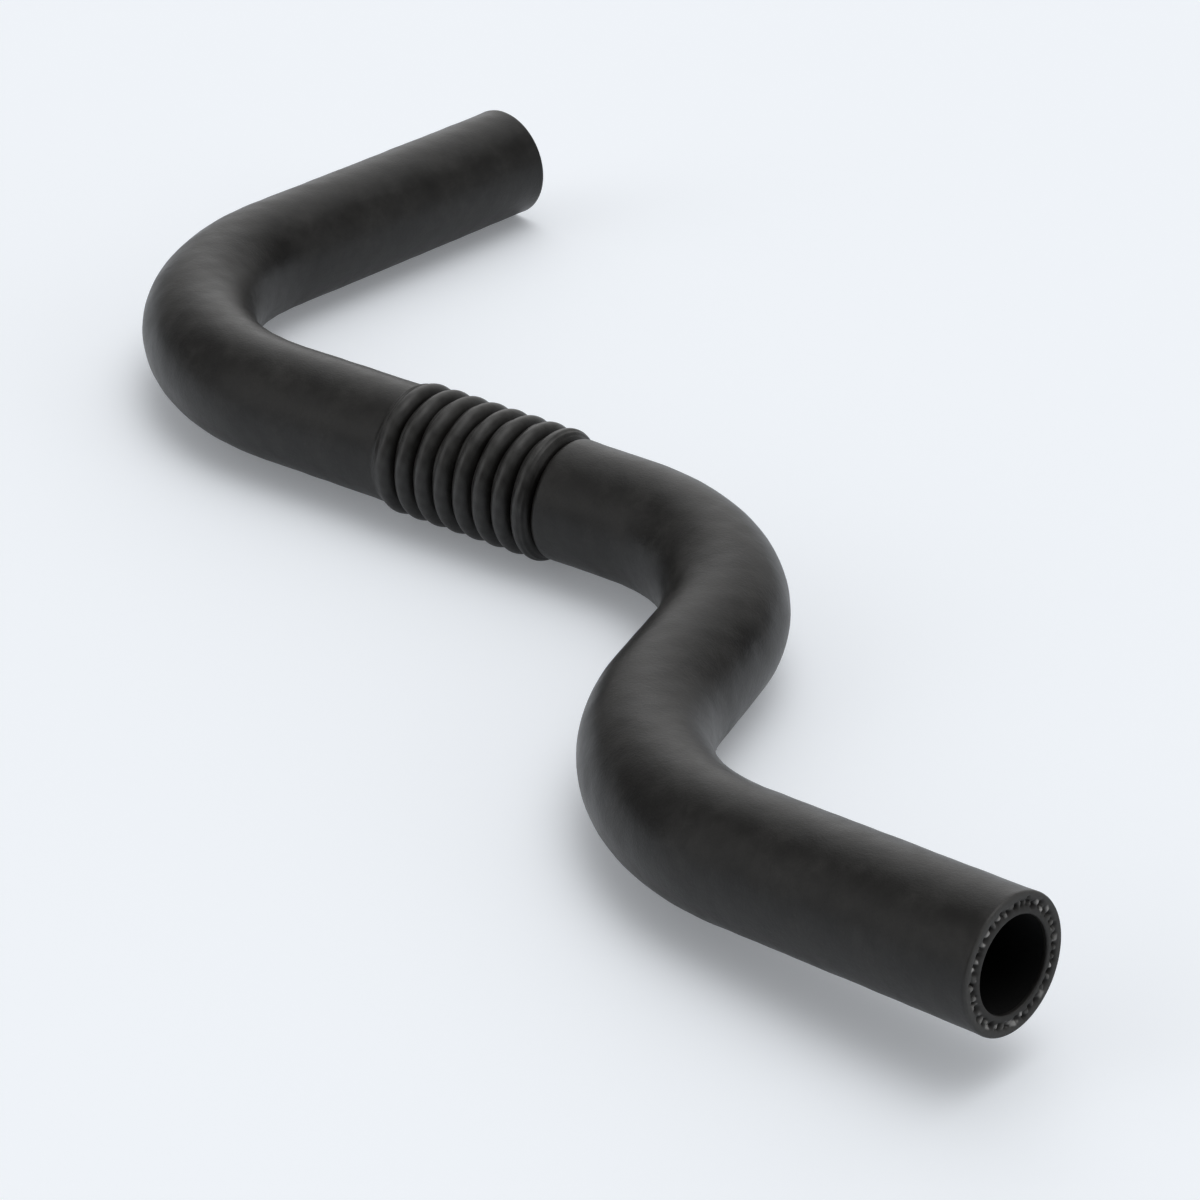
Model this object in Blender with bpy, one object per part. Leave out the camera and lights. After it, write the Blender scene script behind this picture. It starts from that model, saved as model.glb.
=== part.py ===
"""A moulded heater hose: one bent rubber tube, open at both square-cut ends, with a ribbed stretch.

The hose lies as it comes to rest on a level surface. Its far end, the ribs of its middle run and its front
bend touch the surface, and the front run rises to its open end. The middle run lies along X and +Z is up.
The origin is on the surface, under the middle of the hose's bounding box. Lengths are in metres.
"""

import math

import bmesh
import bpy
from mathutils import Matrix, Vector

NODE_NAME = "heater_hose"

# The tube: its bore takes a heater pipe, and the wall is the same all the way.
BORE_DIAMETER = 0.0160
WALL_THICKNESS = 0.0036

# The centreline's straight runs and bends, in order from the far end to the front end.
FAR_RUN = 0.0680
FAR_BEND_RADIUS = 0.0472
FAR_BEND_TURN = math.radians(97.4)
RUN_BEFORE_RIBS = 0.0299
RUN_AFTER_RIBS = 0.0144
MIDDLE_BEND_RADIUS = 0.0372
MIDDLE_BEND_TURN = math.radians(78.4)
SECOND_RUN = 0.0169
FRONT_BEND_RADIUS = 0.0470
FRONT_BEND_TURN = math.radians(70.6)
FRONT_RUN = 0.0546

# The slope at which the front run rises to its open end. The front bend eases into it.
FRONT_SLOPE = math.radians(5.3)

# The ribs: round ridges with narrow grooves between them, which let the middle run flex.
RIDGE_COUNT = 8
RIDGE_PITCH = 0.00449
RIDGE_HEIGHT = 0.0011
GROOVE_DEPTH = 0.0010
# The bore widens by this much under each ridge, so that the wall folds with the ribs.
BORE_SWELL = 0.0008
# The tube flares up to the first ridge, and a short lip leads from the last groove back to the tube.
FLARE_LENGTH = 0.0030
LIP_LENGTH = 0.0015

# How finely the round surfaces are divided.
RING_SIDES = 28
LARGEST_BEND_STEP = math.radians(8.0)
STEPS_PER_RIDGE = 6
STEPS_PER_BORE_SWELL = 4
STEPS_OF_FLARE = 3
STEPS_OF_LIP = 2

# Edges that turn by more than this are drawn sharp, which are the rims of the cut ends.
SHARP_EDGE_ANGLE = math.radians(50.0)

# The centreline's slope is read between two points this far to each side.
SLOPE_PROBE = 0.0001

# Black rubber.
RUBBER_COLOUR = (0.026, 0.026, 0.027, 1.0)
RUBBER_ROUGHNESS = 0.62

BORE_RADIUS = BORE_DIAMETER / 2
TUBE_RADIUS = BORE_RADIUS + WALL_THICKNESS
FIRST_CREST = FLARE_LENGTH
LAST_GROOVE = FIRST_CREST + (RIDGE_COUNT - 0.5) * RIDGE_PITCH
RIBS_LENGTH = LAST_GROOVE + LIP_LENGTH

# Each stretch of the centreline: its length seen from above, and the angle that it turns to the left.
STRETCHES = {
    "far run": (FAR_RUN, 0.0),
    "far bend": (FAR_BEND_RADIUS * FAR_BEND_TURN, FAR_BEND_TURN),
    "middle run": (RUN_BEFORE_RIBS + RIBS_LENGTH + RUN_AFTER_RIBS, 0.0),
    "middle bend": (MIDDLE_BEND_RADIUS * MIDDLE_BEND_TURN, -MIDDLE_BEND_TURN),
    "second run": (SECOND_RUN, 0.0),
    "front bend": (FRONT_BEND_RADIUS * FRONT_BEND_TURN, FRONT_BEND_TURN),
    "front run": (FRONT_RUN, 0.0),
}
# The far run starts at this heading, so that the middle run lies along X.
START_HEADING = -FAR_BEND_TURN
ROUTE_LENGTH = sum(length for length, turn in STRETCHES.values())


def start_of(name):
    """How far along the centreline a stretch begins."""
    names = list(STRETCHES)
    return sum(STRETCHES[before][0] for before in names[:names.index(name)])


RIBS_START = start_of("middle run") + RUN_BEFORE_RIBS
RIBS_END = RIBS_START + RIBS_LENGTH
FRONT_BEND_START = start_of("front bend")
FRONT_BEND_END = start_of("front run")


def clear_scene():
    """Removes every object, so that the script gives the same result each time."""
    for thing in list(bpy.data.objects):
        bpy.data.objects.remove(thing, do_unlink=True)


def plan(distance):
    """The centreline's point and heading seen from above, this far along from the far end."""
    point = Vector((0.0, 0.0, 0.0))
    heading = START_HEADING
    for length, turn in STRETCHES.values():
        covered = min(distance, length)
        swing = turn * covered / length
        chord = covered
        if swing:
            chord = 2 * covered / swing * math.sin(swing / 2)
        point += chord * Vector((math.cos(heading + swing / 2), math.sin(heading + swing / 2), 0.0))
        heading += swing
        distance -= covered
    return point, heading


def ease(share):
    """Goes from 0 to 1 with a level start and a level end."""
    share = min(max(share, 0.0), 1.0)
    return share * share * (3 - 2 * share)


def height(distance):
    """The centreline's height: the ribs carry the middle run, and the front run rises to its end."""
    if distance < RIBS_START:
        return TUBE_RADIUS + RIDGE_HEIGHT * ease(distance / RIBS_START)
    if distance < FRONT_BEND_START:
        share = (distance - RIBS_END) / (FRONT_BEND_START - RIBS_END)
        return TUBE_RADIUS + RIDGE_HEIGHT * (1 - ease(share))
    bend_length = FRONT_BEND_END - FRONT_BEND_START
    in_bend = min(distance - FRONT_BEND_START, bend_length)
    in_run = max(distance - FRONT_BEND_END, 0.0)
    return TUBE_RADIUS + math.tan(FRONT_SLOPE) * (in_bend * in_bend / (2 * bend_length) + in_run)


def slope(distance):
    """The angle at which the centreline rises."""
    rise = height(distance + SLOPE_PROBE) - height(distance - SLOPE_PROBE)
    return math.atan(rise / (2 * SLOPE_PROBE))


def ring_frame(distance):
    """The place of a ring square to the centreline: its local X is across, Y upward and Z along the tube."""
    point, heading = plan(distance)
    rise = slope(distance)
    along = Vector((math.cos(heading) * math.cos(rise), math.sin(heading) * math.cos(rise), math.sin(rise)))
    across = Vector((-math.sin(heading), math.cos(heading), 0.0))
    upward = along.cross(across)
    point.z = height(distance)
    turned = Matrix((across, upward, along)).transposed()
    return Matrix.Translation(point) @ turned.to_4x4()


def bend_rings(name, radius):
    """Rings of one radius along a bend, at even steps from its start to its end."""
    length, turn = STRETCHES[name]
    steps = math.ceil(abs(turn) / LARGEST_BEND_STEP)
    start = start_of(name)
    return [(start + length * step / steps, radius) for step in range(steps + 1)]


def ridged_rings():
    """Rings of the tube's outside along the ribs: a flare, the round ridges and a lip."""
    crest = TUBE_RADIUS + RIDGE_HEIGHT
    groove = TUBE_RADIUS - GROOVE_DEPTH
    rings = []
    for step in range(STEPS_OF_FLARE):
        share = step / STEPS_OF_FLARE
        rings.append((FLARE_LENGTH * share, TUBE_RADIUS + RIDGE_HEIGHT * ease(share)))
    # The first ridge has its far half only, because the flare stands for its near half.
    for step in range(STEPS_PER_RIDGE // 2, STEPS_PER_RIDGE * RIDGE_COUNT + 1):
        ridge, step_in_ridge = divmod(step, STEPS_PER_RIDGE)
        angle = math.pi * step_in_ridge / STEPS_PER_RIDGE
        along = FIRST_CREST + (ridge - math.cos(angle) / 2) * RIDGE_PITCH
        rings.append((along, groove + (crest - groove) * math.sin(angle)))
    for step in range(1, STEPS_OF_LIP + 1):
        angle = math.pi / 2 * step / STEPS_OF_LIP
        along = LAST_GROOVE + LIP_LENGTH * (1 - math.cos(angle))
        rings.append((along, groove + GROOVE_DEPTH * math.sin(angle)))
    return [(RIBS_START + along, radius) for along, radius in rings]


def swelling_rings():
    """Rings of the bore along the ribs: it widens gently under each ridge."""
    rings = []
    for step in range(STEPS_PER_BORE_SWELL * RIDGE_COUNT + 1):
        share = step / STEPS_PER_BORE_SWELL
        along = RIBS_START + FIRST_CREST + (share - 0.5) * RIDGE_PITCH
        swell = BORE_SWELL * (1 - math.cos(2 * math.pi * share)) / 2
        rings.append((along, BORE_RADIUS + swell))
    return rings


def wall_rings(radius, ribbed):
    """All rings of one side of the wall, each as its distance along the centreline and its radius."""
    rings = [(0.0, radius)]
    rings += bend_rings("far bend", radius)
    rings += ribbed
    rings += bend_rings("middle bend", radius)
    rings += bend_rings("front bend", radius)
    rings.append((ROUTE_LENGTH, radius))
    return rings


def add_ring(mesh, distance, radius):
    """Adds one ring of corners, square to the centreline, and returns them in order."""
    frame = ring_frame(distance)
    circle = bmesh.ops.create_circle(mesh, cap_ends=False, segments=RING_SIDES, radius=radius, matrix=frame)
    return circle["verts"]


def join_rings(mesh, first, second):
    """Lays a band of four-sided faces between two rings."""
    for side in range(RING_SIDES):
        following = (side + 1) % RING_SIDES
        mesh.faces.new((first[side], first[following], second[following], second[side]))


def hose_mesh():
    """The whole hose as one closed skin: outside, front rim, bore and far rim, joined ring by ring."""
    mesh = bmesh.new()
    outside = wall_rings(TUBE_RADIUS, ridged_rings())
    bore = wall_rings(BORE_RADIUS, swelling_rings())
    rings = [add_ring(mesh, distance, radius) for distance, radius in outside + bore[::-1]]
    for first, second in zip(rings, rings[1:] + rings[:1]):
        join_rings(mesh, first, second)
    bmesh.ops.recalc_face_normals(mesh, faces=mesh.faces)
    return mesh


def stand_on_origin(mesh):
    """Moves the hose so that the origin is at the middle of its bounding box's underside."""
    lows = [min(corner.co[axis] for corner in mesh.verts) for axis in range(3)]
    highs = [max(corner.co[axis] for corner in mesh.verts) for axis in range(3)]
    shift = Vector((-(lows[0] + highs[0]) / 2, -(lows[1] + highs[1]) / 2, -lows[2]))
    bmesh.ops.translate(mesh, verts=mesh.verts, vec=shift)


def rubber():
    """Matt black rubber."""
    material = bpy.data.materials.new("black_rubber")
    material.use_nodes = True
    shader = material.node_tree.nodes["Principled BSDF"]
    shader.inputs["Base Color"].default_value = RUBBER_COLOUR
    shader.inputs["Roughness"].default_value = RUBBER_ROUGHNESS
    shader.inputs["Metallic"].default_value = 0.0
    return material


def add_hose():
    """Makes the hose's object, with its material and smooth shading."""
    mesh = hose_mesh()
    stand_on_origin(mesh)
    skin = bpy.data.meshes.new(NODE_NAME)
    mesh.to_mesh(skin)
    mesh.free()
    skin.materials.append(rubber())
    skin.shade_smooth()
    skin.set_sharp_from_angle(angle=SHARP_EDGE_ANGLE)
    hose = bpy.data.objects.new(NODE_NAME, skin)
    bpy.context.scene.collection.objects.link(hose)
    return hose


def main():
    """Builds the part."""
    clear_scene()
    add_hose()


main()
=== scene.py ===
"""The looks of a moulded heater hose: a bent black rubber tube with a ribbed stretch and two square-cut ends.

The hose is one closed skin, worked out as whole arrays. A path runs once around the wall's section: along
the outside from the far end to the front end, inwards over the front cut, back along the bore and outwards
over the far cut. That path is carried around the bent centreline. Every point is then lifted or sunk square
to the skin by the fine relief: the cover's unevenness, the reinforcing knit that shows through it, the
mould's creases on the ridges, and the cut yarn on the two end faces. Lengths are in metres.
"""

import logging
import math
from dataclasses import dataclass, field
from enum import Enum

import bpy
import numpy as np
from mathutils import Matrix, Vector


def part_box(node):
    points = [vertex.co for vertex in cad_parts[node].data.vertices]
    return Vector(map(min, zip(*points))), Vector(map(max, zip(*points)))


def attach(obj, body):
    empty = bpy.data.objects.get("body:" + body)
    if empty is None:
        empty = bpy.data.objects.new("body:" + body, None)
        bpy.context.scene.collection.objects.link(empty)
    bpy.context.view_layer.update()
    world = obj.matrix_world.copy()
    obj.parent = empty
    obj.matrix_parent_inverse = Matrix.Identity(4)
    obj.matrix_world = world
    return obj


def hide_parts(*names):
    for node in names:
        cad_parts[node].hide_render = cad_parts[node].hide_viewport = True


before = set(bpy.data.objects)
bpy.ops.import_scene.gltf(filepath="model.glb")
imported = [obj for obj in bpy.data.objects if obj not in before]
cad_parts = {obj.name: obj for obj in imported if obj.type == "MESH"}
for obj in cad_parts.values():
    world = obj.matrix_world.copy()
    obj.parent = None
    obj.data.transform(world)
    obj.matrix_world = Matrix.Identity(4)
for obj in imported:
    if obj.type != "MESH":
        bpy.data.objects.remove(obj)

LOG = logging.getLogger("heater_hose")

NODE = "heater_hose"
BODY = "root"

# A noise mostly stays between these two values.
NOISE_LOW = 0.3
NOISE_HIGH = 0.7

# The numbers of the Mix node's sockets for colours.
MIX_FIRST = 6
MIX_SECOND = 7
MIX_RESULT = 2

# The numbers of three of the route's stretches.
MIDDLE_RUN = 2
FRONT_BEND = 5
FRONT_RUN = 6

# The numbers of the hose's two materials.
COVER = 0
BORE = 1

Array = np.ndarray
Pair = tuple[Array, Array]
Socket = bpy.types.NodeSocket
Inputs = dict[str | int, object]
Colour = tuple[float, float, float]
Point = tuple[float, float, float]


def ease(share: Array) -> Array:
    """Three times the square of a share less twice its cube: 0 to 1, level at both ends and beyond them."""
    share = np.clip(share, 0.0, 1.0)
    return share * share * (3 - 2 * share)


def bump_at(offset: Array, width: float) -> Array:
    """A smooth bump of height 1: the exponential of minus the square of the offset over the width."""
    return np.exp(-(offset / width) ** 2)


def layered(values: Array) -> Array:
    """Gives each value a layer of its own, in which it meets a whole grid of points."""
    return values[:, None, None]


@dataclass(frozen=True)
class Wave:
    """A sine wave around the tube that turns on with the place along it, or with another number."""

    around: float
    along: float
    start: float = 0.0
    size: float = 1.0

    def at(self, angle: Array, place: Array) -> Array:
        """Its size times the sine of around times the angle, plus along times the place, plus its start."""
        return self.size * np.sin(self.around * angle + self.along * place + self.start)


class Cut(Enum):
    """The two square-cut ends of the hose."""

    FAR = "far"
    FRONT = "front"


@dataclass(frozen=True)
class Ribs:
    """The ribbed stretch: round ridges with narrow grooves, a flare before them and a lip after them."""

    count: int = 8
    pitch: float = 0.00449
    height: float = 0.0011
    groove_depth: float = 0.0014
    fullness: float = 1.5
    bore_swell: float = 0.0008
    flare: float = 0.0030
    lip: float = 0.0015
    rows_per_ridge: int = 28
    rows_of_flare: int = 16
    rows_of_lip: int = 8
    bore_rows_per_ridge: int = 6
    crease_depth: float = 0.00034
    crease_width: float = 0.00018
    crease_offset: float = -0.00125
    crease_low: float = -0.15
    crease_range: float = 0.7
    crease_strength: float = 0.7
    crease_change: Wave = Wave(5, 2.3, size=0.3)
    crease_wander: tuple[Wave, ...] = (Wave(3, 1.7, size=0.00008), Wave(7, 2.9, size=0.00005))
    bead_height: float = 0.00038
    bead_width: float = 0.00026
    bead_offset: float = -0.00175
    lip_crease_depth: float = 0.00016
    lip_crease_width: float = 0.00016
    lip_crease_offsets: tuple[float, float] = (0.00075, 0.00145)
    # The ridges' lighter tone: partly rubbed wear on the crests, partly painted highlight, more of it on one
    # side of the top where the light falls.
    crest_rub_and_highlight: float = 0.24
    side_painted_highlight: float = 0.40
    painted_highlight_side: float = math.radians(132.0)
    painted_highlight_reach: float = 0.0006
    rub_and_highlight_mean: float = 0.8
    rub_and_highlight_streaks: tuple[Wave, ...] = (Wave(5, 900, size=0.12), Wave(13, 0, start=1.3, size=0.08))
    rub_and_highlight_dashes: tuple[Wave, Wave] = (Wave(19, 1400, size=0.35), Wave(7, -2600))

    @property
    def last_groove(self) -> float:
        """How far the last groove is from the flare's start."""
        return self.flare + (self.count - 0.5) * self.pitch

    @property
    def length(self) -> float:
        """The length of the whole ribbed stretch."""
        return self.last_groove + self.lip

    def outside(self, tube_radius: float) -> Pair:
        """The outside's path along the ribs.

        The flare rises with an eased step. Each ridge goes from groove to groove as a power of the sine of an
        angle over minus its cosine, which is half an ellipse for a power of 1 and slimmer for a greater one.
        The lip is a quarter of an ellipse back to the tube.

        Args:
            tube_radius: The radius of the smooth tube.

        Returns:
            The distance from the flare's start and the radius of each ring.
        """
        crest = tube_radius + self.height
        groove = tube_radius - self.groove_depth
        share = np.arange(self.rows_of_flare) / self.rows_of_flare
        flare = np.stack([self.flare * share, tube_radius + self.height * ease(share)])
        # The first ridge has its far half only, because the flare stands for its near half.
        step = np.arange(self.rows_per_ridge // 2, self.rows_per_ridge * self.count + 1)
        ridge, within = np.divmod(step, self.rows_per_ridge)
        angle = np.pi * within / self.rows_per_ridge
        along = self.flare + (ridge - np.cos(angle) / 2) * self.pitch
        ridges = np.stack([along, groove + (crest - groove) * np.abs(np.sin(angle)) ** self.fullness])
        angle = np.pi / 2 * np.arange(1, self.rows_of_lip + 1) / self.rows_of_lip
        lip = np.stack([self.last_groove + self.lip * (1 - np.cos(angle)),
                        groove + self.groove_depth * np.sin(angle)])
        along, radius = np.concatenate([flare, ridges, lip], axis=1)
        return along, radius

    def bore(self, bore_radius: float) -> Pair:
        """The bore's path along the ribs, which widens under each ridge by one minus a cosine.

        Args:
            bore_radius: The radius of the plain bore.

        Returns:
            The distance from the flare's start and the radius of each ring.
        """
        share = np.arange(self.bore_rows_per_ridge * self.count + 1) / self.bore_rows_per_ridge
        along = self.flare + (share - 0.5) * self.pitch
        return along, bore_radius + self.bore_swell * (1 - np.cos(2 * np.pi * share)) / 2

    def creases(self, along: Array, angle: Array) -> Array:
        """The mould's lines: on each ridge a crease and a raised bead, and two creases on the lip.

        Across each line lies a smooth bump. The ridges' lines wander, change from ridge to ridge, and ease in
        over the top with the sine of the angle. The lip's creases go all the way round.

        Args:
            along: The distance of each ring from the flare's start, as a column.
            angle: The angle of each point around the tube, as a row.

        Returns:
            How far each point is sunk. It is negative on the beads, which stand out.
        """
        ridge = np.clip(np.round((along - self.flare) / self.pitch), 0, self.count - 1)
        offset = along - self.flare - ridge * self.pitch
        wander = sum(wave.at(angle, ridge) for wave in self.crease_wander)
        line = self.crease_depth * bump_at(offset - self.crease_offset - wander, self.crease_width)
        line = line - self.bead_height * bump_at(offset - self.bead_offset - wander, self.bead_width)
        upper = ease((np.sin(angle) - self.crease_low) / self.crease_range)
        strength = upper * (self.crease_strength + self.crease_change.at(angle, ridge))
        lip = sum(bump_at(offset - place, self.lip_crease_width) for place in self.lip_crease_offsets)
        inside = (along > 0) & (along < self.last_groove)
        last = inside & (ridge == self.count - 1)
        return line * strength * inside + self.lip_crease_depth * lip * last

    def rubbed_and_highlit(self, along: Array, height: Array, angle: Array) -> Array:
        """How much lighter the ridges are made, partly as rubbed wear and partly as painted highlight.

        It is strongest on the crests and eases out on the flanks, in uneven streaks and dashes around them.
        One side of the top, where the light falls, has more of it as painted highlight, by the square of half
        of one plus the cosine of the angle from that side. The dashes are the product of two waves.

        Args:
            along: The distance of each ring from the flare's start, as a column.
            height: How far each ring stands out from the smooth tube, as a column.
            angle: The angle of each point around the tube, as a row.

        Returns:
            The share of the cut's lighter tone at each point, partly wear and partly painted highlight.
        """
        first, second = self.rub_and_highlight_dashes
        streaks = self.rub_and_highlight_mean + sum(wave.at(angle, height) for wave in self.rub_and_highlight_streaks)
        streaks = streaks + first.at(angle, along) * second.at(angle, along)
        more = self.side_painted_highlight * ((1 + np.cos(angle - self.painted_highlight_side)) / 2) ** 2
        inside = ease(along / self.flare) * ease((self.length - along) / self.lip)
        reach = inside * ease((height + self.painted_highlight_reach) / (self.height + self.painted_highlight_reach))
        return (self.crest_rub_and_highlight * ease(height / self.height) + more * reach) * streaks


@dataclass(frozen=True)
class Route:
    """The hose's centreline, walked from the far end to the front end.

    Seen from above it is straight runs and round bends, and the middle run lies along X. The ribs lift the
    middle run off the surface by their height, and the front run rises to its open end.
    """

    tube_radius: float
    ribs: Ribs
    far_run: float = 0.0680
    far_bend_radius: float = 0.0472
    far_bend_turn: float = math.radians(97.4)
    run_before_ribs: float = 0.0299
    run_after_ribs: float = 0.0144
    middle_bend_radius: float = 0.0372
    middle_bend_turn: float = math.radians(78.4)
    second_run: float = 0.0169
    front_bend_radius: float = 0.0470
    front_bend_turn: float = math.radians(70.6)
    front_run: float = 0.0546
    front_slope: float = math.radians(5.3)
    slope_probe: float = 0.0001

    def stretches(self) -> list[tuple[float, float]]:
        """Each stretch's length seen from above and the angle that it turns to the left, in order."""
        return [
            (self.far_run, 0.0),
            (self.far_bend_radius * self.far_bend_turn, self.far_bend_turn),
            (self.run_before_ribs + self.ribs.length + self.run_after_ribs, 0.0),
            (self.middle_bend_radius * self.middle_bend_turn, -self.middle_bend_turn),
            (self.second_run, 0.0),
            (self.front_bend_radius * self.front_bend_turn, self.front_bend_turn),
            (self.front_run, 0.0),
        ]

    def start_of(self, stretch: int) -> float:
        """How far from the far end the stretch with this number begins."""
        return sum(length for length, turn in self.stretches()[:stretch])

    @property
    def length(self) -> float:
        """The whole length, seen from above."""
        return self.start_of(len(self.stretches()))

    @property
    def ribs_start(self) -> float:
        """How far from the far end the flare before the ribs begins."""
        return self.start_of(MIDDLE_RUN) + self.run_before_ribs

    def plan(self, distance: Array) -> tuple[Array, Array, Array]:
        """The centreline seen from above.

        On each stretch the chord is the covered length times the sine of half the swing over half the swing,
        and it points at the heading plus half the swing.

        Args:
            distance: How far along the centreline each point is.

        Returns:
            X, Y and the heading of each point.
        """
        x = np.zeros_like(distance)
        y = np.zeros_like(distance)
        heading = np.full_like(distance, -self.far_bend_turn)
        for stretch, (length, turn) in enumerate(self.stretches()):
            covered = np.clip(distance - self.start_of(stretch), 0.0, length)
            half_swing = turn * covered / length / 2
            chord = covered * np.sinc(half_swing / np.pi)
            x += chord * np.cos(heading + half_swing)
            y += chord * np.sin(heading + half_swing)
            heading += 2 * half_swing
        return x, y, heading

    def height(self, distance: Array) -> Array:
        """The centreline's height over the surface.

        It eases up to the ribs and down after them by the ribs' height. In the front bend it rises with the
        square of the distance, and in the front run evenly.

        Args:
            distance: How far along the centreline each point is.

        Returns:
            The height of each point.
        """
        ribs_end = self.ribs_start + self.ribs.length
        bend_start = self.start_of(FRONT_BEND)
        bend_length = self.start_of(FRONT_RUN) - bend_start
        lift = ease(distance / self.ribs_start) * (1 - ease((distance - ribs_end) / (bend_start - ribs_end)))
        in_bend = np.clip(distance - bend_start, 0.0, bend_length)
        in_run = np.maximum(distance - bend_start - bend_length, 0.0)
        rise = math.tan(self.front_slope) * (in_bend ** 2 / (2 * bend_length) + in_run)
        return self.tube_radius + self.ribs.height * lift + rise

    def frames(self, distance: Array) -> tuple[Array, Array, Array, Array]:
        """The place and the three directions of a ring square to the centreline.

        Args:
            distance: How far along the centreline each ring is.

        Returns:
            The centre, and the unit vectors along the tube, across it to the left, and upwards.
        """
        x, y, heading = self.plan(distance)
        probe = self.slope_probe
        slope = np.arctan((self.height(distance + probe) - self.height(distance - probe)) / (2 * probe))
        zero = np.zeros_like(distance)
        centre = np.stack([x, y, self.height(distance)], axis=1)
        level = np.cos(slope)
        along = np.stack([np.cos(heading) * level, np.sin(heading) * level, np.sin(slope)], axis=1)
        across = np.stack([-np.sin(heading), np.cos(heading), zero], axis=1)
        return centre, along, across, np.cross(along, across)


@dataclass(frozen=True)
class YarnRing:
    """The reinforcing yarn where a cut end shows it.

    It is a zigzag ring of light beads with pits between them, among torn tufts and holes; painted shade
    darkens the pits, the trench between them and the holes. The ranges and spreads say how unlike each other
    the beads and tufts are.
    """

    radius: float = 0.0097
    count: int = 40
    zigzag: float = 0.00016
    turn_spread: float = 0.030
    radius_spread: float = 0.00014
    tilt_spread: float = 0.3
    bead_length: float = 0.00105
    bead_lengths: tuple[float, float] = (0.55, 1.2)
    bead_width: float = 0.00088
    bead_widths: tuple[float, float] = (0.6, 1.15)
    least_light: float = 0.08
    light_power: float = 2.4
    pit_depth: float = 0.00160
    pit_depths: tuple[float, float] = (0.25, 1.0)
    pit_length: float = 0.00080
    pit_width: float = 0.00090
    bead_over_pit: float = 0.7
    trench_depth: float = 0.00026
    trench_width: float = 0.00062
    trench_painted_shade: float = 0.6
    fibre_depth: float = 0.00004
    fibre_pitch: float = 0.00022
    fibre_slant: float = 0.35
    fibre_shade: float = 0.4
    tufts: int = 90
    tuft_size: float = 0.00042
    tuft_sizes: tuple[float, float] = (0.5, 1.2)
    tuft_reach: float = 0.00036
    tuft_heights: tuple[float, float] = (-1.0, 0.9)
    tuft_light: float = 0.3
    hole_depth: float = 0.00050
    deepest_hole: float = 1.5

    def arc(self, angle: Array, place: Array) -> Array:
        """How far each point is from each place along the ring, the shorter way round."""
        return ((angle[None] - place + np.pi) % (2 * np.pi) - np.pi) * self.radius

    def torn(self, radius: Array, angle: Array, draw: np.random.Generator) -> Array:
        """The torn rubber around the ring: the sum of small round bumps, tufts upwards and holes downwards.

        Args:
            radius: Each point's distance from the bore's axis, as a column.
            angle: Each point's angle around that axis, as a row.
            draw: What the bumps' places, sizes and heights are drawn from.

        Returns:
            The height at each point, where a single bump has up to 1.
        """
        place = layered(draw.uniform(0.0, 2 * np.pi, self.tufts))
        ring = layered(self.radius + draw.normal(0.0, self.tuft_reach, self.tufts))
        size = layered(self.tuft_size * draw.uniform(*self.tuft_sizes, self.tufts))
        height = layered(draw.uniform(*self.tuft_heights, self.tufts))
        across = self.arc(angle, place)
        bump = np.exp(-(2 * across / size) ** 2 - (2 * (radius[None] - ring) / size) ** 2)
        return (bump * height).sum(axis=0)

    def relief(self, radius: Array, angle: Array, seed: int) -> tuple[Array, ...]:
        """The height, the yarn and the shade at each point of a cut face.

        Each bead is a long rounded lump, the exponential of minus the fourth power of its scaled offsets. The
        beads lie by turns a little outside and a little inside the ring. A pit lies between each two, on the
        other side of the ring, and a shallow trench joins them. The torn rubber comes on top. Painted shade
        darkens the pits, the trench and the holes.

        Args:
            radius: Each point's distance from the bore's axis, as a column.
            angle: Each point's angle around that axis, as a row.
            seed: What the beads' places, sizes and lightness are drawn from.

        Returns:
            The height over the cut's plane, never above it, the share of yarn, and the share of painted shade
            in the pits, the trench and the holes.
        """
        draw = np.random.default_rng(seed)
        even = np.arange(self.count) * 2 * np.pi / self.count
        swing = self.zigzag * (-1.0) ** np.arange(self.count)
        place = layered(even + draw.normal(0.0, self.turn_spread, self.count))
        middle = layered(self.radius + swing + draw.normal(0.0, self.radius_spread, self.count))
        length = layered(self.bead_length * draw.uniform(*self.bead_lengths, self.count))
        width = layered(self.bead_width * draw.uniform(*self.bead_widths, self.count))
        tilt = layered(draw.normal(0.0, self.tilt_spread, self.count))
        bright = draw.uniform(0.0, 1.0, self.count) ** self.light_power
        light = layered(self.least_light + (1 - self.least_light) * bright)
        depth = layered(draw.uniform(*self.pit_depths, self.count))
        across = self.arc(angle, place)
        outwards = radius[None] - middle + tilt * across
        bead = np.exp(-((2 * across / length) ** 4 + (2 * outwards / width) ** 4))
        strands = (1 + np.cos(2 * np.pi * (outwards + self.fibre_slant * across) / self.fibre_pitch)) / 2
        beside = across - np.pi * self.radius / self.count
        under = radius[None] - 2 * self.radius + middle
        pit = depth * np.exp(-(2 * beside / self.pit_length) ** 2 - (2 * under / self.pit_width) ** 2)
        torn = self.torn(radius, angle, draw)
        cover = bead.max(axis=0)
        hollow = pit.max(axis=0) * (1 - self.bead_over_pit * cover)
        trench = bump_at(radius - self.radius, self.trench_width) * (1 - cover)
        hole = np.clip(-torn, 0, self.deepest_hole)
        fibre = (bead * strands).max(axis=0)
        sunk = self.trench_depth * trench + self.pit_depth * hollow + self.fibre_depth * fibre
        sunk = sunk + self.hole_depth * hole
        # Painted shade: the pits, the trench and the holes are darkened in colour.
        painted_shade = np.maximum(np.maximum(hollow, self.trench_painted_shade * trench), np.minimum(hole, 1))
        yarn = (bead * light * (1 - self.fibre_shade * (1 - strands))).max(axis=0) * (1 - hollow)
        # The tufts add light yarn; the holes take yarn away, which is painted shade.
        return -sunk, np.clip(yarn + self.tuft_light * torn, 0, 1), painted_shade


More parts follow.
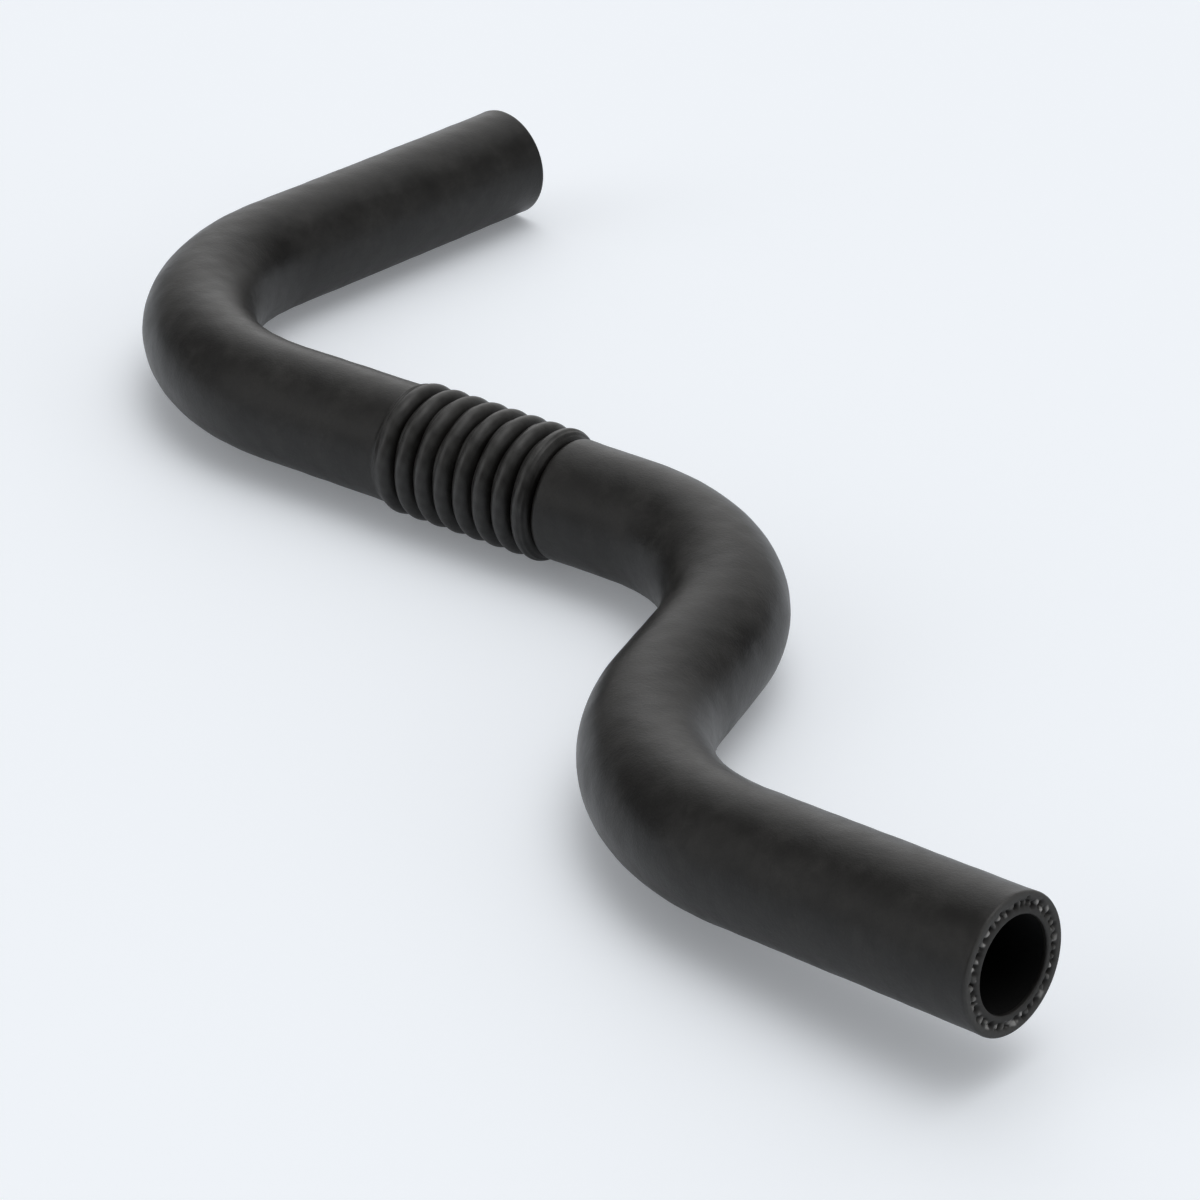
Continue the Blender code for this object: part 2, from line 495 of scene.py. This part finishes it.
@dataclass(frozen=True)
class CoverRelief:
    """What makes the cover less than perfectly smooth: soft dimples over the knit, and slow unevenness."""

    dimple_depth: float = 0.00009
    dimple_length: float = 0.0070
    dimples_around: int = 11
    sway_along: Wave = Wave(0, 1 / 0.061, size=0.9)
    sway_around: Wave = Wave(0, 1 / 0.043, size=0.8)
    patches: tuple[Wave, ...] = (Wave(7, 0.83, 1.1), Wave(-5, 1.21, 2.3), Wave(-9, 0.57, 4.2))
    knit_depth: float = 0.000008
    knit_course: float = 0.0034
    knit_wales: int = 22
    uneven_depth: float = 0.00006
    uneven: tuple[Wave, ...] = (Wave(3, 1 / 0.0173, 0.3), Wave(-2, 1 / 0.0241, 1.9), Wave(1, 1 / 0.0387, 4.1))

    def sunk(self, along: Array, angle: Array) -> Array:
        """How far each point of the smooth cover is sunk, as a positive length.

        The dimples are the mean of a swaying net and three sine waves across it, which makes uneven patches.
        The knit is the product of a cosine around the tube and one along it, a net of diamonds that comes and
        goes with the dimples. The unevenness is the mean of three slow waves.

        Args:
            along: The distance of each ring along the hose, as a column.
            angle: The angle of each point around the tube, as a row.

        Returns:
            The depth at each point, at least 0.
        """
        turn = 2 * np.pi * along
        pace = turn / self.dimple_length
        lengthwise = pace + self.sway_along.at(angle, turn)
        crosswise = self.dimples_around * angle + self.sway_around.at(angle, turn)
        dimple = np.sin(lengthwise) * np.cos(crosswise) + sum(wave.at(angle, pace) for wave in self.patches)
        dimple = dimple / (1 + len(self.patches))
        net = (1 - np.cos(self.knit_wales * angle) * np.cos(turn / self.knit_course)) / 2
        waves = sum(wave.at(angle, turn) for wave in self.uneven) / len(self.uneven)
        knit = self.knit_depth * net * (1 + dimple) / 2
        return self.dimple_depth * (1 + dimple) / 2 + knit + self.uneven_depth * (1 + waves) / 2


@dataclass
class Skin:
    """A closed skin in the making: its corners, faces, map and marks, added band by band."""

    corners: list[Array] = field(default_factory=list)
    marks: list[Array] = field(default_factory=list)
    faces: list[list[int]] = field(default_factory=list)
    finishes: list[Array] = field(default_factory=list)
    maps: list[Array] = field(default_factory=list)
    size: int = 0

    def add_rings(self, points: Array, marks: Array) -> int:
        """Adds rings of corners.

        Args:
            points: Their places, ring by ring.
            marks: Three numbers for each corner: its shares of cut face, of lighter tone with painted light,
                and of yarn.

        Returns:
            The number of the first corner.
        """
        start = self.size
        self.corners.append(points.reshape(-1, 3))
        self.marks.append(marks.reshape(-1, 3))
        self.size += points.shape[0] * points.shape[1]
        return start

    def lay_band(self, start: int, rows: int, columns: int, path: Array, girth: float, finish: int) -> None:
        """Lays four-sided faces between all rings of one band.

        Args:
            start: The number of the band's first corner.
            rows: How many rings it has.
            columns: How many corners each ring has.
            path: How far along the wall's path each ring is, for the map.
            girth: The map's width around the tube.
            finish: The number of the band's material.
        """
        row, column = np.meshgrid(np.arange(rows - 1), np.arange(columns), indexing="ij")
        following = (column + 1) % columns
        first = start + row * columns
        quads = np.stack([first + column, first + following, first + columns + following,
                          first + columns + column], axis=-1)
        across = np.stack([column, column + 1, column + 1, column], axis=-1) * girth / columns
        along = np.stack([path[row], path[row], path[row + 1], path[row + 1]], axis=-1)
        self.faces += quads.reshape(-1, 4).tolist()
        self.finishes.append(np.full(quads.size // 4, finish))
        self.maps.append(np.stack([along, across], axis=-1).reshape(-1, 2))

    def lay_step(self, coarse: int, fine: int, columns: int, factor: int, path: tuple[float, float],
                 girth: float, coarse_first: bool) -> None:
        """Joins a ring to one with a whole number of times as many corners, by triangles.

        Args:
            coarse: The number of the coarse ring's first corner.
            fine: The number of the fine ring's first corner.
            columns: How many corners the coarse ring has.
            factor: How many times as many the fine ring has.
            path: How far along the wall's path the first and the second ring are.
            girth: The map's width around the tube.
            coarse_first: Whether the coarse ring comes first along the path.
        """
        side = np.arange(columns)
        following = (side + 1) % columns
        order = 1 if coarse_first else -1
        coarse_at, fine_at = path[::order]
        fans = []
        for part in range(factor):
            near = part < factor / 2
            tip = side if near else following
            low = side * factor + part
            high = (low + 1) % (columns * factor)
            fans.append([(coarse + tip, coarse_at, side if near else side + 1),
                         (fine + high, fine_at, (low + 1) / factor), (fine + low, fine_at, low / factor)])
        middle = side * factor + math.ceil(factor / 2)
        fans.append([(coarse + side, coarse_at, side), (coarse + following, coarse_at, side + 1),
                     (fine + middle, fine_at, middle / factor)])
        for fan in fans:
            places = fan[::order]
            self.faces += np.stack([corner for corner, at, turn in places], axis=-1).tolist()
            self.finishes.append(np.full(columns, COVER))
            spots = [np.stack([np.full(columns, at), turn * girth / columns], axis=-1)
                     for corner, at, turn in places]
            self.maps.append(np.stack(spots, axis=1).reshape(-1, 2))

    def mesh(self, name: str, shift: Array) -> bpy.types.Mesh:
        """Makes the mesh.

        Args:
            name: Its name.
            shift: How far all corners are moved.

        Returns:
            The mesh, with its map and with its marks as three attributes.
        """
        mesh = bpy.data.meshes.new(name)
        mesh.from_pydata(np.concatenate(self.corners) + shift, [], self.faces)
        layer = mesh.uv_layers.new(name="Along")
        layer.uv.foreach_set("vector", np.concatenate(self.maps).astype(np.float32).ravel())
        marks = np.concatenate(self.marks).astype(np.float32)
        for column, mark in enumerate(("cut", "tone", "yarn")):
            attribute = mesh.attributes.new(mark, "FLOAT", "POINT")
            attribute.data.foreach_set("value", np.ascontiguousarray(marks[:, column]))
        mesh.shade_smooth()
        mesh.polygons.foreach_set("material_index", np.concatenate(self.finishes).astype(np.int32))
        mesh.update()
        return mesh


@dataclass
class HeaterHose:
    """The whole hose: its route, its wall, its ribs and its two cut ends."""

    bore_radius: float = 0.0080
    wall: float = 0.0036
    ribs: Ribs = field(default_factory=Ribs)
    cover: CoverRelief = field(default_factory=CoverRelief)
    yarn: YarnRing = field(default_factory=YarnRing)
    outer_edge: float = 0.00055
    inner_edge: float = 0.00030
    inner_shade: float = 0.40
    columns: int = 96
    cut_factor: int = 4
    outside_step: float = 0.0011
    bore_step: float = 0.0055
    step_band: float = 0.0005
    cut_rows: int = 24
    edge_rows: int = 4
    smooth_by_ribs: float = 0.004
    smooth_by_cut: float = 0.003
    knife_depth: float = 0.00003
    knife_pitch: float = 0.00093
    knife_slant: float = 0.31
    knife_sway: float = 2.0
    knife_sway_length: float = 0.0021
    front_seed: int = 7
    far_seed: int = 19

    @property
    def tube_radius(self) -> float:
        """The radius of the smooth outside."""
        return self.bore_radius + self.wall

    @property
    def route(self) -> Route:
        """The centreline."""
        return Route(tube_radius=self.tube_radius, ribs=self.ribs)

    def long_path(self, ribbed: Pair, radius: float, edge: float, step: float) -> Pair:
        """The wall's path along the hose, on one side of the wall.

        Args:
            ribbed: The distance from the flare's start and the radius of each ring along the ribs.
            radius: The radius away from the ribs.
            edge: How wide the rounded edge at each end is, where this path stops.
            step: About how far apart the rings are away from the ribs.

        Returns:
            The distance and the radius of each ring, from the far end on.
        """
        middle = self.route.ribs_start + ribbed[0]
        first = edge + self.step_band
        last = self.route.length - first
        before = np.linspace(first, middle[0], math.ceil((middle[0] - first) / step), endpoint=False)
        after = np.linspace(middle[-1], last, math.ceil((last - middle[-1]) / step) + 1)[1:]
        radii = np.pad(ribbed[1], (len(before), len(after)), constant_values=radius)
        return np.concatenate([before, middle, after]), radii

    def cut_path(self, end: Cut) -> Pair:
        """The wall's path over a cut face, with both edges rounded by quarter circles.

        Args:
            end: Which end.

        Returns:
            How deep each ring lies behind the cut's plane, and its radius, in the order of the whole path.
        """
        turn = np.pi / 2 * np.arange(self.edge_rows + 1) / self.edge_rows
        outer_depth = self.outer_edge * (1 - np.sin(turn))
        outer_radius = self.tube_radius - self.outer_edge * (1 - np.cos(turn))
        inner_depth = self.inner_edge * (1 - np.cos(turn))
        inner_radius = self.bore_radius + self.inner_edge * (1 - np.sin(turn))
        flat = np.linspace(outer_radius[-1], inner_radius[0], self.cut_rows + 1)[1:-1]
        depth = np.concatenate([outer_depth, np.zeros_like(flat), inner_depth])
        radius = np.concatenate([outer_radius, flat, inner_radius])
        order = 1 if end is Cut.FRONT else -1
        return depth[::order], radius[::order]

    def carried(self, along: Array, radius: Array, columns: int, height: Array, normal: Pair) -> Array:
        """Carries part of the wall's path around the centreline.

        A point is its ring's centre, plus its radius in its own direction, plus its height along the skin's
        normal.

        Args:
            along: The distance of each ring.
            radius: Its radius.
            columns: How many points it has.
            height: How far each point stands out from the plain path.
            normal: The parts of the skin's normal along the tube and outwards, for each ring.

        Returns:
            The points, ring by ring.
        """
        centre, forwards, across, upward = self.route.frames(along)
        angle = self.angles(columns)
        sideways, level = np.cos(angle)[None, :, None], np.sin(angle)[None, :, None]
        outwards = sideways * across[:, None] + level * upward[:, None]
        reach = radius[:, None] + height * normal[1][:, None]
        slide = height * normal[0][:, None]
        return centre[:, None] + reach[..., None] * outwards + slide[..., None] * forwards[:, None]

    @staticmethod
    def angles(columns: int) -> Array:
        """The angles of a ring's points, from the left side over the top."""
        return np.arange(columns) * 2 * np.pi / columns

    def outside_band(self) -> tuple[Array, Array, Array]:
        """The outside, from the far end to the front end.

        Returns:
            Its distances along the hose, its points, and their marks.
        """
        along, radius = self.long_path(self.ribs.outside(self.tube_radius), self.tube_radius,
                                       self.outer_edge, self.outside_step)
        slope = np.gradient(radius, along)
        steep = np.sqrt(1 + slope ** 2)
        angle = self.angles(self.columns)[None]
        from_flare = (along - self.route.ribs_start)[:, None]
        nearest = np.maximum(np.maximum(-from_flare, from_flare - self.ribs.length), 0.0)
        smooth = ease(nearest / self.smooth_by_ribs)
        from_end = np.minimum(along, self.route.length - along)[:, None]
        sunk = self.cover.sunk(along[:, None], angle) * smooth * ease(from_end / self.smooth_by_cut)
        sunk = sunk + self.ribs.creases(from_flare, angle)
        points = self.carried(along, radius, self.columns, -sunk, (-slope / steep, 1 / steep))
        # The ridges' tone: rubbed wear on the crests and painted highlight, more of it on one side of the
        # top.
        tone = self.ribs.rubbed_and_highlit(from_flare, (radius - self.tube_radius)[:, None], angle)
        return along, points, np.stack([0 * tone, tone, 0 * tone], axis=-1)

    def bore_band(self) -> tuple[Array, Array, Array]:
        """The bore, from the front end to the far end.

        Returns:
            Its distances along the hose, its points, and their marks.
        """
        along, radius = self.long_path(self.ribs.bore(self.bore_radius), self.bore_radius,
                                       self.inner_edge, self.bore_step)
        along, radius = along[::-1], radius[::-1]
        still = np.zeros((len(along), self.columns))
        points = self.carried(along, radius, self.columns, still, (still[:, 0], still[:, 0]))
        return along, points, np.zeros(points.shape[:2] + (3,))

    def cut_band(self, end: Cut) -> Pair:
        """A cut face with its rounded edges, its cut yarn and the fine marks of the knife.

        Args:
            end: Which end.

        Returns:
            Its points and their marks.
        """
        columns = self.columns * self.cut_factor
        depth, radius = self.cut_path(end)
        angle = self.angles(columns)[None]
        column = radius[:, None]
        seed = self.front_seed if end is Cut.FRONT else self.far_seed
        height, yarn, painted_shade = self.yarn.relief(column, angle, seed)
        side, level = column * np.cos(angle), column * np.sin(angle)
        sway = self.knife_sway * np.sin(side / self.knife_sway_length)
        knife = np.sin(2 * np.pi * (self.knife_slant * side + level) / self.knife_pitch + sway)
        height = height - self.knife_depth * (1 + knife) / 2
        cut = ease((self.outer_edge - depth) / self.outer_edge)[:, None] * np.ones_like(angle)
        flat = np.isclose(depth, 0.0)[:, None]
        height = height * flat
        along = self.route.length - depth if end is Cut.FRONT else depth
        facing = np.full(len(along), 1.0 if end is Cut.FRONT else -1.0)
        points = self.carried(along, radius, columns, height, (facing, 0 * facing))
        inner = self.inner_shade * (column < self.yarn.radius)
        # The tone is lowered by painted shade in the pits, the trench and the holes.
        marks = np.stack([cut, cut * (1 - flat * painted_shade) * (1 - inner), flat * yarn], axis=-1)
        return points, marks

    def skin(self) -> Skin:
        """Lays the whole closed skin, band by band, in the order of the wall's path.

        Returns:
            The skin.
        """
        skin = Skin()
        girth = 2 * np.pi * self.tube_radius
        length = self.route.length
        outside_along, *outside = self.outside_band()
        front = self.cut_band(Cut.FRONT)
        bore_along, *bore = self.bore_band()
        bands = [outside, front, bore, self.cut_band(Cut.FAR)]
        cut_path = self.wall * np.linspace(0, 1, len(front[0]))
        paths = [outside_along, length + cut_path, 2 * length + self.wall - bore_along,
                 2 * length + self.wall + cut_path]
        starts = []
        for path, finish, (points, marks) in zip(paths, (COVER, COVER, BORE, COVER), bands):
            start = skin.add_rings(points, marks)
            skin.lay_band(start, points.shape[0], points.shape[1], path, girth, finish)
            starts.append(start)
        for this in range(len(bands)):
            following = (this + 1) % len(bands)
            rows, columns = bands[this][0].shape[:2]
            last = starts[this] + (rows - 1) * columns
            ends = (paths[this][-1], paths[following][0])
            coarse_first = columns == self.columns
            first, second = (last, starts[following]) if coarse_first else (starts[following], last)
            skin.lay_step(first, second, self.columns, self.cut_factor, ends, girth, coarse_first)
        return skin

    def build(self, finishes: list[bpy.types.Material]) -> None:
        """Makes the hose's object where the construction's own solid lies.

        Args:
            finishes: The rubber of its outside and cuts, and that of its bore.
        """
        skin = self.skin()
        corners = np.concatenate(skin.corners)
        low, high = (np.array(corner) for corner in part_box(NODE))
        own_low, own_high = corners.min(axis=0), corners.max(axis=0)
        shift = (low + high - own_low - own_high) / 2
        shift[2] = low[2] - own_low[2]
        mesh = skin.mesh("moulded_hose", shift)
        for material in finishes:
            mesh.materials.append(material)
        hose = bpy.data.objects.new("moulded_hose", mesh)
        bpy.context.scene.collection.objects.link(hose)
        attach(hose, BODY)
        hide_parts(NODE)
        LOG.info("%s: %d faces over %.1f mm", hose.name, len(mesh.polygons), self.route.length * 1000)


@dataclass(frozen=True)
class Mottle:
    """A noise: how wide its spots are in metres, how many finer layers it has, and how strong they are."""

    grain: float
    detail: float
    rough: float


@dataclass
class NodeTree:
    """A small helper that adds and links the nodes of one tree."""

    tree: bpy.types.NodeTree

    def add(self, kind: str, inputs: Inputs | None = None, **settings: object) -> bpy.types.Node:
        """Adds a node.

        Args:
            kind: Its type.
            inputs: What its sockets get, by name or number: outputs or constants.
            settings: Its own properties.

        Returns:
            The node.
        """
        node = self.tree.nodes.new(kind)
        for name, value in settings.items():
            setattr(node, name, value)
        for name, value in (inputs or {}).items():
            self.feed(node.inputs[name], value)
        return node

    def feed(self, socket: Socket, value: object) -> None:
        """Links an output to a socket, or sets the socket to a constant.

        Args:
            socket: The socket.
            value: The output or the constant.
        """
        if isinstance(value, Socket):
            self.tree.links.new(value, socket)
        else:
            socket.default_value = value

    def maths(self, operation: str, *values: object) -> Socket:
        """Works out an operation on some outputs or numbers, and returns the result."""
        return self.add("ShaderNodeMath", dict(enumerate(values)), operation=operation).outputs[0]

    def in_picture(self) -> Socket:
        """Tells the rays that the camera sees, itself or in a reflection or through glass, from all others.

        Returns:
            1 for a ray that it sees, and else 0.
        """
        path = self.add("ShaderNodeLightPath").outputs
        reflected = self.maths("MAXIMUM", path["Is Glossy Ray"], path["Is Transmission Ray"])
        return self.maths("MAXIMUM", path["Is Camera Ray"], reflected)

    def noise(self, vector: Socket, mottle: Mottle) -> Socket:
        """Adds a noise that follows some coordinates, and returns its value, about 0 to 1."""
        inputs = {"Vector": vector, "Scale": 1 / mottle.grain, "Detail": mottle.detail,
                  "Roughness": mottle.rough}
        return self.add("ShaderNodeTexNoise", inputs).outputs["Fac"]

    def spread(self, value: Socket, low: float, high: float) -> Socket:
        """Maps the usual range of a noise to two new ends."""
        inputs = {"Value": value, "From Min": NOISE_LOW, "From Max": NOISE_HIGH,
                  "To Min": low, "To Max": high}
        return self.add("ShaderNodeMapRange", inputs, interpolation_type="SMOOTHSTEP").outputs["Result"]

    def blend(self, factor: object, first: object, second: object) -> Socket:
        """Mixes two colours by a factor and returns the result."""
        inputs = {"Factor": factor, MIX_FIRST: first, MIX_SECOND: second}
        return self.add("ShaderNodeMix", inputs, data_type="RGBA").outputs[MIX_RESULT]

    def bump(self, height: Socket, depth: float, **before: Socket) -> Socket:
        """Adds relief of a depth in metres, on top of a Normal if it is given, and returns the new normal."""
        inputs = {"Strength": 1.0, "Distance": depth, "Height": height, **before}
        return self.add("ShaderNodeBump", inputs).outputs["Normal"]


@dataclass(frozen=True)
class RubberFinish:
    """Matt black rubber with a moulded cover, a knife-cut face and light cut yarn."""

    cover: Colour = (0.0050, 0.0045, 0.0038)
    cover_worn: Colour = (0.0200, 0.0190, 0.0175)
    cut: Colour = (0.066, 0.065, 0.063)
    yarn: Colour = (0.58, 0.57, 0.55)
    roughness: float = 0.36
    roughness_worn: float = 0.46
    reflection: float = 0.325
    cut_roughness: float = 0.8
    cloud: Mottle = Mottle(grain=0.008, detail=3.0, rough=0.55)
    pore: Mottle = Mottle(grain=0.0022, detail=4.0, rough=0.6)
    pore_least: float = 0.4
    pore_depth: float = 0.00006
    grain: Mottle = Mottle(grain=0.00045, detail=3.0, rough=0.6)
    grain_depth: float = 0.00003

    def material(self) -> bpy.types.Material:
        """Builds the material.

        Two noises on the object's own coordinates, one slow and one fine, shift the cover between its two
        greys and its two roughnesses. The fine one and a third, finer still, are its small relief. The
        attribute cut makes the cut faces dull, tone makes rubber lighter, with painted highlight on the
        ridges and painted shade in the cut faces' pits, and yarn brings in the yarn.

        Returns:
            The material.
        """
        material = bpy.data.materials.new("black_rubber_cover")
        material.use_nodes = True
        tree = NodeTree(material.node_tree)
        shader = material.node_tree.nodes["Principled BSDF"]
        place = tree.add("ShaderNodeTexCoord").outputs["Object"]
        cut, tone, yarn = (tree.add("ShaderNodeAttribute", attribute_name=mark).outputs["Fac"]
                           for mark in ("cut", "tone", "yarn"))
        cloud = tree.spread(tree.noise(place, self.cloud), 0.0, 1.0)
        pore = tree.noise(place, self.pore)
        grain = tree.noise(place, self.grain)
        worn = tree.maths("MULTIPLY", cloud, tree.spread(pore, self.pore_least, 1.0))
        cover = tree.blend(worn, (*self.cover, 1.0), (*self.cover_worn, 1.0))
        # The tone carries painted highlight on the ridges and painted shade on the cut faces.
        rubber = tree.blend(tone, cover, (*self.cut, 1.0))
        tree.feed(shader.inputs["Base Color"], tree.blend(yarn, rubber, (*self.yarn, 1.0)))
        rough = tree.maths("MULTIPLY_ADD", worn, self.roughness_worn - self.roughness, self.roughness)
        dull = tree.maths("MULTIPLY", cut, self.cut_roughness)
        tree.feed(shader.inputs["Roughness"], tree.maths("MAXIMUM", rough, dull))
        shader.inputs["Specular IOR Level"].default_value = self.reflection
        normal = tree.bump(pore, self.pore_depth)
        tree.feed(shader.inputs["Normal"], tree.bump(grain, self.grain_depth, Normal=normal))
        return material


@dataclass(frozen=True)
class BoreFinish:
    """The plain dark rubber of the bore, which the moulding core leaves dull."""

    colour: Colour = (0.007, 0.007, 0.007)
    roughness: float = 0.9
    reflection: float = 0.15

    def material(self) -> bpy.types.Material:
        """Builds the material: one dark grey that reflects little.

        Returns:
            The material.
        """
        material = bpy.data.materials.new("black_rubber_bore")
        material.use_nodes = True
        shader = material.node_tree.nodes["Principled BSDF"]
        shader.inputs["Base Color"].default_value = (*self.colour, 1.0)
        shader.inputs["Roughness"].default_value = self.roughness
        shader.inputs["Specular IOR Level"].default_value = self.reflection
        return material


@dataclass(frozen=True)
class SoftLight:
    """A soft round light, far away. Its angles are in degrees, and its turn is to the left of the view."""

    turn: float
    height: float
    level: float
    sharpness: float = 18.0

    def axis(self, view: float) -> Point:
        """The direction of its middle.

        Args:
            view: The azimuth of the camera's view, in radians.

        Returns:
            The unit vector towards it.
        """
        azimuth = view + math.radians(self.turn)
        height = math.radians(self.height)
        return -math.sin(azimuth) * math.cos(height), math.cos(azimuth) * math.cos(height), math.sin(height)


@dataclass(frozen=True)
class Studio:
    """A plain pale floor in soft light from several sides."""

    view: float
    page: Colour = (0.863, 0.896, 0.939)
    floor_side: float = 12.0
    floor_level: float = -0.00003
    glow: float = 0.194
    # Each light's turn, height and level.
    lights: tuple[SoftLight, ...] = tuple(SoftLight(*light) for light in (
        (0, 3, 1.25), (0, 20, 0.55), (36, 20, 0.39), (108, 20, 1.45), (252, 20, 1.37), (324, 20, 0.86),
        (0, 43, 0.94), (90, 43, 0.77), (0, 68, 1.23), (240, 68, 1.31), (300, 68, 1.1), (0, 90, 1.38),
    ))

    def floor(self) -> None:
        """Lays the floor: a plane of the page's colour that keeps the hose's shadow.

        The lights alone leave it a little darker than the page, and a glow that only the picture and the
        reflections see makes up for that.
        """
        half = self.floor_side / 2
        mesh = bpy.data.meshes.new("floor")
        corners = [(-half, -half), (half, -half), (half, half), (-half, half)]
        mesh.from_pydata([(x, y, self.floor_level) for x, y in corners], [], [(0, 1, 2, 3)])
        material = bpy.data.materials.new("pale_floor")
        material.use_nodes = True
        shader = material.node_tree.nodes["Principled BSDF"]
        shader.inputs["Base Color"].default_value = (*self.page, 1.0)
        shader.inputs["Roughness"].default_value = 1.0
        shader.inputs["Specular IOR Level"].default_value = 0.0
        shader.inputs["Emission Color"].default_value = (*self.page, 1.0)
        tree = NodeTree(material.node_tree)
        tree.feed(shader.inputs["Emission Strength"], tree.maths("MULTIPLY", tree.in_picture(), self.glow))
        mesh.materials.append(material)
        floor = bpy.data.objects.new("floor", mesh)
        bpy.context.scene.collection.objects.link(floor)

    def world(self) -> None:
        """Lights the scene with the soft lights. The camera sees the page's colour instead of them.

        Each light is its level times the exponential of its sharpness times one less than the cosine of the
        angle from its middle.
        """
        world = bpy.data.worlds.new("studio")
        world.use_nodes = True
        bpy.context.scene.world = world
        tree = NodeTree(world.node_tree)
        background = world.node_tree.nodes["Background"]
        ray = tree.add("ShaderNodeTexCoord").outputs["Generated"]
        total: object = 0.0
        for light in self.lights:
            directions = {0: ray, 1: light.axis(self.view)}
            near = tree.add("ShaderNodeVectorMath", directions, operation="DOT_PRODUCT")
            fall = tree.maths("MULTIPLY_ADD", near.outputs["Value"], light.sharpness, -light.sharpness)
            total = tree.maths("MULTIPLY_ADD", tree.maths("EXPONENT", fall), light.level, total)
        grey = tree.add("ShaderNodeCombineColor", {"Red": total, "Green": total, "Blue": total})
        seen = tree.add("ShaderNodeLightPath").outputs["Is Camera Ray"]
        tree.feed(background.inputs["Color"], tree.blend(seen, grey.outputs[0], (*self.page, 1.0)))

    def build(self) -> None:
        """Lays the floor, sets the light and the plain view transform."""
        self.floor()
        self.world()
        bpy.context.scene.view_settings.view_transform = "Standard"
        LOG.info("studio: floor %.0f m wide, %d soft lights", self.floor_side, len(self.lights))


@dataclass(frozen=True)
class PhotoCamera:
    """The camera at the photograph's viewing angle."""

    eye: Point = (0.38114, -0.54456, 0.36404)
    azimuth: float = math.radians(35.85)
    elevation: float = math.radians(29.31)
    lens: float = 122.55
    sensor: float = 36.0

    def build(self) -> None:
        """Makes the camera.

        It looks level along +Y at first, and is then turned left by its azimuth and down by its elevation.
        """
        data = bpy.data.cameras.new("photo_camera")
        data.lens = self.lens
        data.sensor_width = self.sensor
        camera = bpy.data.objects.new("photo_camera", data)
        turn = Matrix.Rotation(self.azimuth, 4, "Z") @ Matrix.Rotation(math.pi / 2 - self.elevation, 4, "X")
        camera.matrix_world = Matrix.Translation(Vector(self.eye)) @ turn
        bpy.context.scene.collection.objects.link(camera)
        bpy.context.scene.camera = camera
        LOG.info("camera: %.2f mm lens", self.lens)


def main() -> None:
    """Builds the camera, the studio and the hose, in order."""
    logging.basicConfig(level=logging.INFO, format="%(name)s: %(message)s")
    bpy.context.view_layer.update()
    camera = PhotoCamera()
    camera.build()
    Studio(view=camera.azimuth).build()
    HeaterHose().build([RubberFinish().material(), BoreFinish().material()])


if __name__ == "__main__":
    main()
